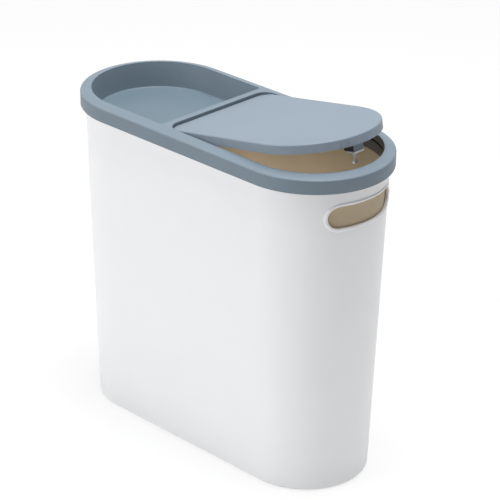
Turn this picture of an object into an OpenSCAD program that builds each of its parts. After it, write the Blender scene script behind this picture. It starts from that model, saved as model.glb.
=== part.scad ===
// Slim push-top bin: a racetrack-plan body with a lift-out liner, a bag ring and a top frame that
// holds a sunken tray and a sprung lid, which a push latch keeps shut. X runs along the long side
// with the lid at +X, Z is up, and the origin is the middle of the foot.

/* [Overall] */
// Height of the top frame above the surface the bin stands on
total_h = 300; // [285:1:340]
// Length of the top frame
rim_l = 322; // [290:1:390]
// Width of the top frame, which is also twice its end radius
rim_w = 139.2; // [138:0.2:170]

/* [Bin] */
// How far the top frame stands out past the bin wall
overhang = 4.4; // [4.4:0.1:6]
// How far the bin wall leans in from its top edge to its foot
bin_lean = 8.9; // [6:0.1:14]
// Wall of the outer bin
bin_wall = 2.0; // [1.6:0.1:2.4]
// Floor of the outer bin
bin_floor = 2.5; // [2:0.1:4]
// Rounding of the foot
foot_round = 3; // [1:0.5:6]
// Length of each hand hole
hole_l = 74; // [50:1:76]
// Height of each hand hole
hole_h = 20.7; // [16:0.1:26]
// Middle of the hand holes below the top of the frame
hole_drop = 38.8; // [36:0.1:60]
// Width of the raised lip round each hand hole
lip_w = 2.4; // [1.5:0.1:4]
// How far the raised lip stands proud
lip_t = 1.3; // [0.6:0.1:2]

/* [Liner and ring] */
// Wall of the liner
liner_wall = 1.4; // [1:0.1:2]
// Extra gap between the liner and the bin below the liner's shoulder
liner_gap = 0.8; // [0.5:0.1:3]
// Thickness of the bag ring's skirt
ring_wall = 1.2; // [0.8:0.1:1.5]
// Thickness of the flanges by which the liner and the ring hang
flange_t = 1.2; // [1:0.1:2]
// Depth of the bag ring's skirt below its flange
ring_depth = 7.9; // [5:0.1:12]

/* [Top frame] */
// Height of the frame's outer side, to where its top face starts
rim_side = 12.2; // [10:0.1:20]
// Width of the frame's top face
rim_face = 9.8; // [8:0.1:12]
// Rise of the top face from its outer to its inner edge
rim_rise = 2.7; // [1:0.1:4]
// Skin of the frame
skin = 2.2; // [1.8:0.1:2.4]
// Depth of the frame's inner wall round the lid
band_h = 6.8; // [6:0.1:8]
// Edge of the divider beside the tray
divider_x = -26.6; // [-60:0.1:-20]
// Width of the divider between the tray and the lid
divider_w = 6.2; // [6:0.1:20]
// Depth of the tray
tray_depth = 23; // [15:0.5:30]
// How far the tray's walls lean in from top to floor
tray_lean = 3.5; // [2:0.1:6]
// Wall of the tray
tray_wall = 1.7; // [1.4:0.1:1.9]
// Corner radius of the lid's well beside the divider
well_round = 12; // [10:0.5:13]

/* [Lid] */
// Angle at which the lid stands open at rest
ajar = 10.2; // [8:0.1:14]
// Gap between the lid and the frame round it
lid_gap = 0.8; // [0.6:0.1:1.5]
// Gap between the lid's back edge and the divider
lid_back_gap = 1.4; // [1.4:0.1:2]
// How far the closed lid lies below the frame's top
lid_sink = 0.5; // [0:0.1:1]
// Height of the lid's side
lid_h = 8; // [7.5:0.1:9]
// Skin of the lid's top
lid_skin = 1.6; // [1.4:0.1:2]
// Thickness of the lid's side
lid_side = 2.0; // [1.6:0.1:2.4]
// Rounding of the lid's top edge
lid_round = 1.2; // [0.8:0.1:1.5]
// Distance of the hinge axis from the lid's back edge
axis_in = 10.4; // [10:0.1:13]
// Distance of the hinge axis below the lid's top face
axis_down = 4.7; // [4.7:0.1:5]
// Radius of the hinge pins
pin_r = 1.5; // [1.2:0.1:1.6]
// Running clearance of the hinge pins in the frame
pin_fit = 0.05; // [0.02:0.01:0.08]
// Wire diameter of the hinge springs
wire_d = 0.9; // [0.6:0.1:0.9]

/* [Latch] */
// Middle of the latch inwards from the lid's front tip
latch_in = 13; // [12:0.5:20]
// Length of the striker below the lid's top face
striker_h = 28; // [26:0.5:32]
// Width of the striker's neck
neck = 2.2; // [1.6:0.1:3]
// Width of the striker's head
head_w = 4.8; // [4:0.1:5]
// Stroke of the latch slide
stroke = 2.5; // [1.5:0.1:3]
// Angle by which each jaw stands open at rest
jaw_open = 12; // [10:0.5:14]

/* [Hidden] */
$fn = 96;
eps = 0.01;

// Clearances between pieces
rest_gap = 0.3;
press_fit = 0.02;
hang_gap = 0.3;
tray_clear = 0.25;
run_gap = 0.3;

// Plan of the racetrack: the end centres lie at x = -end_x and end_x
rim_r = rim_w / 2;
end_x = rim_l / 2 - rim_r;
open_r = rim_r - rim_face;

// Heights, from the top down
skirt_z = total_h - rim_rise - rim_side;
rest_z = total_h - band_h - 1.6;
band_z = total_h - band_h;
ring_top_z = rest_z - rest_gap;
ring_seat_z = ring_top_z - flange_t;
liner_top_z = ring_seat_z - rest_gap;
liner_seat_z = liner_top_z - flange_t;
bin_top_z = liner_seat_z - rest_gap;
shoulder_z = bin_top_z - 7.3;
floor_gap = 1.5;

// Radii of the walls at height z, measured from an end centre or from the long middle line
bin_top_r = rim_r - overhang;
function bin_r(z) = bin_top_r - bin_lean * (1 - z / bin_top_z);
function bin_in_r(z) = bin_r(z) - bin_wall;
function liner_r(z) = bin_in_r(z) - hang_gap;
function liner_low_r(z) = liner_r(z) - liner_gap;
function ring_r(z) = liner_r(z) - liner_wall - 0.25;
frame_skirt_in = rim_r - skin;
flange_r = frame_skirt_in - 0.8;
rib_out = flange_r - 0.6;
rib_in = rib_out - 1.6;

// Top face of the frame
slope = rim_rise / rim_face;
slope_run = sqrt(1 + slope * slope);
slope_deg = 90 - atan(slope);
edge_round = 1.5;
inner_round = 0.8;
function face_z(r) = total_h + inner_round * (slope_run + slope - 1) - (r - open_r) * slope;

// Well and tray
well_x = divider_x + divider_w;
well_wall = 1.8;
tray_z = total_h - tray_depth;
tray_edge_z = total_h - 0.8;
tray_floor = 1.8;
tray_fillet = 1.4;

// Lid, in its closed place
lid_r = open_r - lid_gap;
lid_back = well_x + lid_back_gap;
lid_top = total_h - lid_sink;
lid_low = lid_top - lid_h;
lid_corner = well_round - lid_gap;
lid_tip = end_x + lid_r;
axis_x = lid_back + axis_in;
axis_z = lid_top - axis_down;
skirt_start = lid_back + lid_corner;
panel_gap = 0.4;
panel_t = 1.6;
panel_z = lid_low + 0.6;
panel_back = axis_x + 5;

// Knuckles, springs and pins along the hinge axis, as distances from the middle plane
lug_in = lid_r - 1.7 - 2;
knuckle_out = [lid_r - 5.5, lid_r - 3.5];
knuckle_in = [lid_r - 16.2, lid_r - 12.2];
knuckle_r = 3.0;
pin_in = knuckle_in[0] + 0.4;
pin_out = open_r + 4.6;
coil_r = pin_r + 0.5 + wire_d / 2;
coil_pitch = wire_d + 0.45;
coil_turns = 3;
leg_reach = axis_in + lid_back_gap + 2.4;
leg_end_deg = 211;
coil_start = knuckle_in[1] + 0.5 + wire_d / 2;

// Latch, in the place of the closed lid
latch_x = lid_tip - latch_in;
boss_x = 11.2;
boss_y = 11.6;
boss_wall = 1.6;
boss_low = lid_top - 16.3;
strike_z = lid_top - striker_h;
head_h = 2.5;
press_travel = 2.2;
plate_z = strike_z - press_travel - 0.1;
hook_z = strike_z + head_h + stroke + 0.3;
pivot_y = 5.0;
pivot_z = plate_z - 7.4;
jaw_r = 1.9;
jaw_t = 6;
jaw_pin_r = 0.8;
slide_x = 8.6;
slide_y = 16.6;
slide_low = pivot_z - 9.5;
slide_high = pivot_z + 1.9;
cavity_x = slide_x + 2 * run_gap;
cavity_y = slide_y + 2 * run_gap;
house_wall = 1.5;
house_low = slide_low - 6.6;
house_top = plate_z + 0.6;
house_floor = 1.5;
house_back = latch_x + boss_x / 2 + 1;
bracket_t = 2.4;
bracket_x = house_back;
bracket_low = house_low + 3;
shelf_z = lid_low - 5.5;
shelf_t = 2.4;
tongue_y = 9;
tongue_t = 1.2;
screw_y = 12.8;
ear_y = screw_y + 2.4;
screw_z = [house_low + 8, house_low + 20];
coil2_r = 3.0;
coil2_wire = 0.7;
spring_low = house_low + house_floor + 0.1;
spring_high = slide_low + 6.2;

// Points of an arc about c, from angle a0 to a1
function arc(c, r, a0, a1, n = 6) =
    [for (i = [0:n]) let (t = a0 + (a1 - a0) * i / n) [c[0] + r * cos(t), c[1] + r * sin(t)]];

// Sweeps a section of [radius, z] points round the racetrack; a section may start on the middle line
module track(p) {
    for (turn = [0, 180]) rotate([0, 0, turn]) {
        translate([end_x, 0, 0]) rotate([0, 0, -90]) rotate_extrude(angle = 180) polygon(p);
        translate([-end_x, 0, 0]) rotate([90, 0, 90]) linear_extrude(2 * end_x) polygon(p);
    }
}

// Outline of the lid's half of the opening, drawn in by an inset
module well_plan(inset, corner = well_round) {
    r = open_r - inset;
    c = max(corner - inset, 0.5);
    x0 = well_x + inset;
    translate([end_x, 0]) circle(r);
    translate([x0 + c, -r]) square([end_x - x0 - c, 2 * r]);
    translate([x0, -r + c]) square([2 * c, 2 * (r - c)]);
    for (s = [-1, 1]) translate([x0 + c, s * (r - c)]) circle(c);
}

// Outline of the lid, drawn in by an inset
module lid_plan(inset) {
    r = lid_r - inset;
    c = lid_corner - inset;
    x0 = lid_back + inset;
    translate([end_x, 0]) circle(r);
    translate([x0 + c, -r]) square([end_x - x0 - c, 2 * r]);
    translate([x0, -r + c]) square([2 * c, 2 * (r - c)]);
    for (s = [-1, 1]) translate([x0 + c, s * (r - c)]) circle(c);
}

// Sweeps a section of [inset, z] points round the lid's outline
module lid_edge(p) {
    c = lid_corner;
    run = end_x - lid_back - c;
    translate([end_x, 0, 0]) rotate([0, 0, -90]) rotate_extrude(angle = 180)
        polygon([for (q = p) [lid_r - q[0], q[1]]]);
    for (s = [0, 1]) mirror([0, s, 0]) {
        translate([lid_back + c, 0, 0]) rotate([90, 0, 90]) linear_extrude(run)
            polygon([for (q = p) [lid_r - q[0], q[1]]]);
        translate([lid_back + c, lid_r - c, 0]) rotate([0, 0, 90]) rotate_extrude(angle = 90)
            polygon([for (q = p) [c - q[0], q[1]]]);
    }
    translate([0, lid_r - c, 0]) rotate([90, 0, 0]) linear_extrude(2 * (lid_r - c))
        polygon([for (q = p) [lid_back + q[0], q[1]]]);
}

// Turns what is drawn in the closed lid's place to where the lid stands at rest
module at_rest() {
    translate([axis_x, 0, axis_z]) rotate([0, -ajar, 0]) translate([-axis_x, 0, -axis_z]) children();
}

// Rod along Y between two distances from the middle plane
module rod_y(x, z, r, y0, y1) {
    translate([x, y1, z]) rotate([90, 0, 0]) cylinder(r = r, h = y1 - y0);
}

// Rod along X from x0 to x1
module rod_x(y, z, r, x0, x1) {
    translate([x0, y, z]) rotate([0, 90, 0]) cylinder(r = r, h = x1 - x0);
}

// Box between two corners
module block(lo, hi) {
    translate(lo) cube(hi - lo);
}

// Hand hole outline as a bar along X, grown by an amount all round
module hole_bar(grow) {
    r = hole_h / 2 + grow;
    half = (hole_l - hole_h) / 2;
    z = total_h - hole_drop;
    x0 = end_x + 26;
    x1 = rim_l / 2 + 5;
    for (s = [-1, 1]) rod_x(s * half, z, r, x0, x1);
    block([x0, -half, z - r], [x1, half, z + r]);
}

// Both hand holes, one through each end
module at_both_ends() {
    for (turn = [0, 180]) rotate([0, 0, turn]) children();
}

module outer_bin() color([0.93, 0.93, 0.94]) {
    lip_r = frame_skirt_in - 0.5;
    lip_z = bin_top_z - 2;
    difference() {
        track(concat([[0, 0]], arc([bin_r(0) - foot_round, foot_round], foot_round, -90, -2), [
            [bin_r(lip_z), lip_z],
            [lip_r, lip_z],
            [lip_r, bin_top_z],
            [0, bin_top_z]]));
        track([
            [0, bin_floor],
            [bin_in_r(bin_floor) - 2, bin_floor],
            [bin_in_r(bin_floor + 2), bin_floor + 2],
            [bin_in_r(bin_top_z + 1), bin_top_z + 1],
            [0, bin_top_z + 1]]);
        at_both_ends() hole_bar(0);
    }
    at_both_ends() intersection() {
        difference() {
            hole_bar(lip_w);
            hole_bar(0);
        }
        track([
            [bin_r(0) - 0.4, 0],
            [bin_r(0) + lip_t, 0],
            [bin_r(lip_z) + lip_t, lip_z],
            [bin_r(lip_z) - 0.4, lip_z]]);
    }
}

module inner_liner() color([0.62, 0.55, 0.45]) {
    low = bin_floor + floor_gap;
    inner = low + liner_wall;
    lean = liner_gap + 0.6;
    track([
        [0, low],
        [liner_low_r(low) - 3, low],
        [liner_low_r(low + 3), low + 3],
        [liner_low_r(shoulder_z - lean), shoulder_z - lean],
        [liner_r(shoulder_z), shoulder_z],
        [liner_r(liner_seat_z), liner_seat_z],
        [flange_r, liner_seat_z],
        [flange_r, liner_top_z],
        [liner_r(liner_top_z) - liner_wall, liner_top_z],
        [liner_r(shoulder_z) - liner_wall, shoulder_z + 0.6],
        [liner_low_r(shoulder_z - lean) - liner_wall, shoulder_z - lean + 0.6],
        [liner_low_r(inner + 3) - liner_wall, inner + 3],
        [liner_low_r(inner) - liner_wall - 3, inner],
        [0, inner]]);
}

module bag_ring() color([0.27, 0.29, 0.31]) {
    foot = ring_seat_z - ring_depth;
    difference() {
        track([
            [ring_r(foot) - ring_wall, foot],
            [ring_r(foot), foot],
            [ring_r(ring_seat_z), ring_seat_z],
            [flange_r, ring_seat_z],
            [flange_r, ring_top_z],
            [ring_r(ring_top_z) - ring_wall, ring_top_z]]);
        intersection() {
            translate([end_x, 0, foot - 1]) cylinder(r = open_r + tongue_t + 0.7, h = ring_depth + 4);
            block([end_x + 40, -tongue_y - 1.5, foot - 1], [rim_l / 2, tongue_y + 1.5, ring_top_z + 1]);
        }
    }
}

// Rim of the frame: an outer skirt, a sloping top face, an inner wall and a rib that rests on the ring
module frame_rim() {
    out_z = face_z(rim_r) - edge_round * (slope_run - slope);
    in_z = total_h - inner_round;
    under = skin * slope_run;
    track(concat(
        [[rim_r - 0.4, skirt_z], [rim_r, skirt_z + 0.4]],
        arc([rim_r - edge_round, out_z], edge_round, 0, slope_deg),
        arc([open_r + inner_round, in_z], inner_round, slope_deg, 180), [
        [open_r, band_z],
        [open_r + skin, band_z],
        [open_r + skin, face_z(open_r + skin) - under],
        [rib_in, face_z(rib_in) - under],
        [rib_in, rest_z],
        [rib_out, rest_z],
        [rib_out, face_z(rib_out) - under],
        [frame_skirt_in, face_z(frame_skirt_in) - under],
        [frame_skirt_in, skirt_z]]));
}

// Tray as a solid, grown by an amount: its sides lean in and its divider side leans with them
module tray_form(grow, top) {
    z0 = tray_z - (grow > 0 ? tray_floor : 0);
    r0 = open_r - tray_lean + grow;
    mid_r = ring_r(band_z) - ring_wall - tray_clear - tray_wall + grow;
    f = tray_fillet;
    intersection() {
        track(concat([[0, z0]], arc([r0 - f, z0 + f], f, -90, -6, 5), [
            [mid_r, band_z],
            [open_r + grow, tray_edge_z],
            [open_r + grow, top],
            [0, top]]));
        translate([0, rim_w, 0]) rotate([90, 0, 0]) linear_extrude(2 * rim_w) polygon(concat(
            [[-rim_l, z0 - 1], [divider_x - tray_lean + grow - f, z0 - 1]],
            arc([divider_x - tray_lean + grow - f, z0 + f], f, -90, -6, 5), [
            [divider_x + grow, tray_edge_z],
            [divider_x + grow, top],
            [-rim_l, top]]));
    }
}

// Deck between the tray and the well, with the well's back wall below it
module divider() {
    half = open_r + 0.5;
    x1 = well_x + well_round + 2;
    translate([0, 0, total_h - skin]) linear_extrude(skin) difference() {
        translate([divider_x, -half]) square([x1 - divider_x, 2 * half]);
        well_plan(0);
    }
    for (part = [[rest_z, total_h - eps, half], [total_h - 15, rest_z + eps, liner_deck()]])
        translate([0, 0, part[0]]) linear_extrude(part[1] - part[0]) intersection() {
            difference() {
                well_plan(-well_wall);
                well_plan(0);
            }
            translate([well_x - well_wall, -part[2]]) square([well_round + well_wall, 2 * part[2]]);
        }
}

// Half width that stays clear inside the bag ring
function liner_deck() = ring_r(rest_z) - ring_wall - 0.8;

// Lugs that hold the hinge pins
module hinge_lugs() {
    translate([0, 0, rest_z]) linear_extrude(total_h - skin - rest_z) for (s = [-1, 1]) difference() {
        translate([axis_x - 4, s > 0 ? lug_in : -rib_out]) square([8, rib_out - lug_in]);
        well_plan(0);
    }
}

// Bracket that carries the latch below the front of the lid
module latch_bracket() {
    intersection() {
        track([
            [open_r, shelf_z - shelf_t],
            [open_r + tongue_t, shelf_z - shelf_t],
            [open_r + tongue_t, band_z + 1],
            [open_r, band_z + 1]]);
        block([end_x + 40, -tongue_y, 0], [rim_l / 2, tongue_y, total_h]);
    }
    intersection() {
        translate([end_x, 0, shelf_z - shelf_t]) cylinder(r = open_r + tongue_t, h = shelf_t);
        block([bracket_x, -tongue_y, 0], [rim_l / 2, tongue_y, total_h]);
    }
    difference() {
        block([bracket_x, -ear_y, bracket_low], [bracket_x + bracket_t, ear_y, shelf_z]);
        for (s = [-1, 1], z = screw_z) rod_x(s * screw_y, z, 1.0, bracket_x - 1, bracket_x + bracket_t + 1);
    }
}

module top_frame() color([0.49, 0.56, 0.62]) {
    difference() {
        union() {
            frame_rim();
            divider();
            tray_form(tray_wall, tray_edge_z);
            hinge_lugs();
        }
        tray_form(0, total_h + 2);
        for (s = [0, 1]) mirror([0, s, 0]) {
            rod_y(axis_x, axis_z, pin_r + pin_fit, lug_in - 1, pin_out + 0.2);
            block([well_x - well_wall - 1, coil_start - 1.2, total_h - 16],
                [well_x + 6, coil_start + coil_turns * coil_pitch + 1.8, axis_z - 2.2]);
        }
    }
    latch_bracket();
}

// Places of the screws that hold the panel, in the closed lid's plan
function panel_screw_places() =
    [for (x = [panel_back + 12, end_x + 12], s = [-1, 1]) [x, s * (lid_r - 20)]];

module lid_cover() color([0.70, 0.75, 0.80]) at_rest() {
    z1 = lid_top;
    k = lid_round;
    skin_low = z1 - lid_skin;
    difference() {
        union() {
            lid_edge(concat([[lid_corner - 2, skin_low], [0.3, skin_low]],
                arc([k, z1 - k], -k, 0, -90), [[lid_corner - 2, z1]]));
            translate([0, 0, skin_low]) linear_extrude(lid_skin) lid_plan(lid_corner - 3);
            translate([0, 0, lid_low]) linear_extrude(z1 - k - lid_low) intersection() {
                difference() {
                    lid_plan(0);
                    lid_plan(lid_side);
                }
                translate([skirt_start, -rim_w]) square([rim_l, 2 * rim_w]);
            }
            for (s = [0, 1]) mirror([0, s, 0]) for (k2 = [knuckle_in, knuckle_out]) {
                rod_y(axis_x, axis_z, knuckle_r, k2[0], k2[1]);
                block([axis_x - 2.4, k2[0], axis_z], [axis_x + 2.4, k2[1], skin_low + eps]);
            }
            for (q = panel_screw_places()) translate([q[0], q[1], panel_z + panel_t])
                cylinder(r = 3, h = skin_low - panel_z - panel_t + eps);
            for (s = [-1, 1]) block([panel_back + 2, s * 18 - 0.6, panel_z + panel_t + 0.4],
                [end_x, s * 18 + 0.6, skin_low + eps]);
        }
        for (s = [0, 1]) mirror([0, s, 0])
            rod_y(axis_x, axis_z, pin_r + press_fit, pin_in, lid_r + 1);
        for (q = panel_screw_places()) translate([q[0], q[1], panel_z]) cylinder(r = 1.2, h = 5);
    }
}

module lid_panel() color([0.49, 0.56, 0.62]) at_rest() {
    x0 = latch_x - boss_x / 2;
    x1 = latch_x + boss_x / 2;
    h = boss_y / 2;
    difference() {
        union() {
            translate([0, 0, panel_z]) linear_extrude(panel_t) intersection() {
                lid_plan(lid_side + panel_gap);
                translate([panel_back, -rim_w]) square([rim_l, 2 * rim_w]);
            }
            block([x0, -h, boss_low], [x1, h, panel_z + eps]);
        }
        block([x0 + boss_wall, -h + boss_wall, boss_low - 1], [x1 - boss_wall, h - boss_wall, panel_z - 0.8]);
        block([x0 + boss_wall, -h - 1, boss_low + 0.8], [x1 - boss_wall, 0, panel_z - 0.8]);
        rod_y(latch_x - 1, boss_low + 3, 1.3, 0, h + 1);
        for (q = panel_screw_places()) translate([q[0], q[1], panel_z - 1]) cylinder(r = 1.6, h = 4);
    }
}

// Small round-head screw along +Z, its head below z = 0
module screw(r, l, head_r, head_t) {
    cylinder(r = r, h = l);
    difference() {
        translate([0, 0, -head_t]) cylinder(r1 = head_r * 0.75, r2 = head_r, h = head_t);
        for (a = [0, 90]) rotate([0, 0, a])
            block([-head_r * 0.6, -head_r * 0.12, -head_t - 1], [head_r * 0.6, head_r * 0.12, -head_t * 0.45]);
    }
}

module lid_screws() color([0.55, 0.56, 0.58]) at_rest() {
    for (q = panel_screw_places()) translate([q[0], q[1], panel_z]) screw(1.18, 5, 2.6, 1.4);
}

module hinge_pin(side) {
    mirror([0, side, 0]) rod_y(axis_x, axis_z, pin_r, pin_in, pin_out);
}

module hinge_pin_left() color([0.72, 0.73, 0.75]) at_rest() hinge_pin(0);
module hinge_pin_right() color([0.72, 0.73, 0.75]) at_rest() hinge_pin(1);

// Sweeps a round wire along a path; up is a direction that the path never takes
module wire(path, r, up, sides = 6) {
    n = len(path);
    rings = [for (i = [0:n - 1])
        let (t = path[min(i + 1, n - 1)] - path[max(i - 1, 0)],
            u = cross(t, up) / norm(cross(t, up)),
            v = cross(t, u) / norm(cross(t, u)))
        for (k = [0:sides - 1]) path[i] + r * (cos(360 * k / sides) * u + sin(360 * k / sides) * v)];
    sides_f = [for (i = [0:n - 2], k = [0:sides - 1])
        let (a = i * sides + k, b = i * sides + (k + 1) % sides)
        each [[a, b, a + sides], [b, b + sides, a + sides]]];
    caps = [for (k = [1:sides - 2]) each [[0, k + 1, k], [(n - 1) * sides, (n - 1) * sides + k,
        (n - 1) * sides + k + 1]]];
    polyhedron(points = rings, faces = concat(sides_f, caps));
}

// Least gap of a wire to itself, between points more than half a turn apart
function self_gap(path, d, apart) = min([for (i = [0:len(path) - 1], j = [0:len(path) - 1])
    if (j > i + apart) norm(path[i] - path[j]) - d]);

// Hinge spring: a leg under the lid's skin, the turns round the pin and a leg to the well's back wall
leave_deg = leg_end_deg - ajar - acos(coil_r / leg_reach) + 360 * coil_turns;
function coil_point(t) = [axis_x + coil_r * cos(t), coil_start + coil_pitch * (t - 90) / 360,
    axis_z + coil_r * sin(t)];
coil_steps = round((leave_deg - 90) / 45);
hinge_wire = concat(
    [[axis_x + 15, coil_start, axis_z + coil_r], [axis_x + 3, coil_start, axis_z + coil_r]],
    [for (i = [0:coil_steps]) coil_point(90 + (leave_deg - 90) * i / coil_steps)],
    [[axis_x + leg_reach * cos(leg_end_deg - ajar), coil_point(leave_deg)[1],
        axis_z + leg_reach * sin(leg_end_deg - ajar)]]);
echo("hinge spring gap to itself", self_gap(hinge_wire, wire_d, 4));

module hinge_spring_left() color([0.6, 0.61, 0.63]) at_rest() wire(hinge_wire, wire_d / 2, [0, 1, 0]);
module hinge_spring_right() color([0.6, 0.61, 0.63]) at_rest()
    wire([for (q = hinge_wire) [q[0], -q[1], q[2]]], wire_d / 2, [0, 1, 0]);

module latch_striker() color([0.93, 0.93, 0.93]) at_rest() {
    x1 = latch_x + boss_x / 2;
    h = boss_y / 2;
    bar = 1.5;
    block([latch_x - neck, -h, boss_low - bar], [x1 + 0.1, h, boss_low]);
    block([latch_x - neck / 2, -neck / 2, strike_z + head_h - eps], [latch_x + neck / 2, neck / 2, boss_low]);
    translate([latch_x - neck / 2, 0, 0]) rotate([90, 0, 90]) linear_extrude(neck) polygon([
        [-neck / 2, strike_z],
        [neck / 2, strike_z],
        [head_w / 2, strike_z + head_h * 0.6],
        [head_w / 2, strike_z + head_h],
        [-head_w / 2, strike_z + head_h],
        [-head_w / 2, strike_z + head_h * 0.6]]);
    difference() {
        block([latch_x - boss_x / 2 + boss_wall + 0.1, 0.4, boss_low - eps],
            [x1 - boss_wall - 0.1, h - boss_wall - 0.1, boss_low + 6]);
        rod_y(latch_x - 1, boss_low + 3, 0.9, 0, h);
    }
}

module striker_screw() color([0.55, 0.56, 0.58]) at_rest()
    translate([latch_x - 1, boss_y / 2, boss_low + 3]) rotate([90, 0, 0]) screw(0.88, 5, 2.1, 1.2);

module latch_housing() color([0.30, 0.32, 0.34]) {
    w = cavity_y / 2 + house_wall;
    x0 = latch_x - cavity_x / 2;
    difference() {
        union() {
            block([x0, -w, house_low], [house_back, w, house_top]);
            for (z = screw_z) block([house_back - 2.2, -ear_y, z - 3], [house_back, ear_y, z + 3]);
            for (s = [-1, 1]) block([x0 + 2, s * w - 0.7, house_low + 12], [x0 + 5, s * w + 0.7, house_low + 15]);
        }
        block([x0 - 1, -cavity_y / 2, house_low + house_floor],
            [latch_x + cavity_x / 2, cavity_y / 2, house_top + 1]);
        for (s = [-1, 1], z = screw_z) rod_x(s * screw_y, z, 1.5, house_back - 3, house_back + 1);
    }
    difference() {
        translate([latch_x, 0, house_low + house_floor - eps]) cylinder(r = coil2_r - 0.8, h = 3);
        translate([latch_x, 0, house_low + house_floor]) cylinder(r = 1, h = 4);
    }
}

module latch_cover() color([0.30, 0.32, 0.34]) {
    w = cavity_y / 2 + house_wall;
    x1 = latch_x - cavity_x / 2;
    t = 1.3;
    block([x1 - t, -w - t - 0.1, house_low], [x1, w + t + 0.1, house_top]);
    for (s = [0, 1]) mirror([0, s, 0]) difference() {
        block([x1 - eps, w + 0.1, house_low + 9], [x1 + 7, w + 0.1 + t, house_low + 18]);
        block([x1 + 1.9, w, house_low + 11.9], [x1 + 5.1, w + 2 + t, house_low + 15.1]);
    }
}

module latch_slide() color([0.93, 0.93, 0.93]) {
    hx = slide_x / 2;
    hy = slide_y / 2;
    slot = jaw_t / 2 + 0.3;
    difference() {
        union() {
            block([latch_x - hx, -hy, slide_low], [latch_x + hx, hy, slide_high]);
            block([latch_x - jaw_t / 2, -2.1, slide_low], [latch_x + jaw_t / 2, 2.1, plate_z]);
        }
        for (s = [-1, 1]) {
            block([latch_x - slot, s > 0 ? 2.6 : -hy - 1, pivot_z - jaw_r - 0.4],
                [latch_x + slot, s > 0 ? hy + 1 : -2.6, slide_high + 1]);
            rod_x(s * pivot_y, pivot_z, jaw_pin_r + press_fit, latch_x - hx - 1, latch_x + hx + 1);
        }
        translate([latch_x, 0, slide_low - 1]) cylinder(r = coil2_r + 0.8, h = 7.4);
    }
}

// One jaw in its shut place on the +Y side: a barrel, an arm and a hook that takes the striker's head
module jaw() {
    hook_in = neck / 2 + 0.5;
    arm_in = pivot_y - 1.1;
    arm_out = pivot_y + 1.1;
    top = hook_z + 2.2;
    translate([latch_x - jaw_t / 2, 0, 0]) difference() {
        union() {
            rod_x(pivot_y, pivot_z, jaw_r, 0, jaw_t);
            rotate([90, 0, 90]) linear_extrude(jaw_t) polygon([
                [arm_in, pivot_z],
                [arm_out, pivot_z],
                [arm_out, top - 1.2],
                [arm_out - 1.2, top],
                [hook_in + 1.4, top],
                [hook_in, hook_z + 0.4],
                [hook_in, hook_z],
                [arm_in, hook_z]]);
        }
        rod_x(pivot_y, pivot_z, jaw_pin_r + pin_fit, -1, jaw_t + 1);
    }
}

// Turns a jaw about its own pivot to where it stands at rest
module jaw_at_rest(side) {
    mirror([0, side, 0]) translate([0, pivot_y, pivot_z]) rotate([-jaw_open, 0, 0])
        translate([0, -pivot_y, -pivot_z]) jaw();
}

module latch_jaw_left() color([0.93, 0.93, 0.93]) jaw_at_rest(0);
module latch_jaw_right() color([0.93, 0.93, 0.93]) jaw_at_rest(1);

module jaw_pins() color([0.72, 0.73, 0.75]) {
    for (s = [-1, 1]) rod_x(s * pivot_y, pivot_z, jaw_pin_r, latch_x - slide_x / 2, latch_x + slide_x / 2);
}

spring_turns = 5;
spring_rise = spring_high - spring_low - coil2_wire;
latch_wire = [for (i = [0:spring_turns * 8]) [
    latch_x + coil2_r * cos(45 * i),
    coil2_r * sin(45 * i),
    spring_low + coil2_wire / 2 + spring_rise * i / (spring_turns * 8)]];
echo("latch spring gap to itself", self_gap(latch_wire, coil2_wire, 4));

module latch_spring() color([0.6, 0.61, 0.63]) wire(latch_wire, coil2_wire / 2, [0, 0, 1]);

module latch_screws() color([0.55, 0.56, 0.58]) {
    for (s = [-1, 1], z = screw_z) translate([house_back - 2.2, s * screw_y, z]) rotate([0, 90, 0])
        screw(0.98, 4.6, 2.4, 1.4);
}

outer_bin();
inner_liner();
bag_ring();
top_frame();
lid_cover();
lid_panel();
lid_screws();
hinge_pin_left();
hinge_pin_right();
hinge_spring_left();
hinge_spring_right();
latch_striker();
striker_screw();
latch_housing();
latch_cover();
latch_slide();
latch_jaw_left();
latch_jaw_right();
jaw_pins();
latch_spring();
latch_screws();
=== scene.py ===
"""Looks of a slim push-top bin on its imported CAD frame: shell, liner, top frame, tray and sprung lid."""

import math
import types

import bmesh
import bpy
from mathutils import Matrix, Vector


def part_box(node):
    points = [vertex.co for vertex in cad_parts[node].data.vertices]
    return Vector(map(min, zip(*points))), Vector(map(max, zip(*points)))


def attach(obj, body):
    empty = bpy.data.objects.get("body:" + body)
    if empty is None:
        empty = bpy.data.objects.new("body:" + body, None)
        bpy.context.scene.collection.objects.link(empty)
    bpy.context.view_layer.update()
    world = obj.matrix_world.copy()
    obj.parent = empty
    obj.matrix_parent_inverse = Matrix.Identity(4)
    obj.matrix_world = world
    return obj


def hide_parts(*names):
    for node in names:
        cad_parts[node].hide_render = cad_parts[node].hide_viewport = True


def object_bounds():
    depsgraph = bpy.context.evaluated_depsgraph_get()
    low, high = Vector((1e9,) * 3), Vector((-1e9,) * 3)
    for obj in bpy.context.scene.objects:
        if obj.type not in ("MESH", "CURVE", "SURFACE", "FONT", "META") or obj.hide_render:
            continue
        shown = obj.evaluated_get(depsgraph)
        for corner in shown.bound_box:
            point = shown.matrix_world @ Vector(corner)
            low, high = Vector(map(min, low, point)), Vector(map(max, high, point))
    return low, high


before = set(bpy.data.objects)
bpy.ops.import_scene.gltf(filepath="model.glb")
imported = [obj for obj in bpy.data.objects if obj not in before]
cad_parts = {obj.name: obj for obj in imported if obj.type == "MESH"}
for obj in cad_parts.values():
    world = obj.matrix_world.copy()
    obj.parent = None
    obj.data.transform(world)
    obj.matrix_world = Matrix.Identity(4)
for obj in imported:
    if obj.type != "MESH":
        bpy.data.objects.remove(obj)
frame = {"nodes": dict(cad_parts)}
CAD_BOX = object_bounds()

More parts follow.
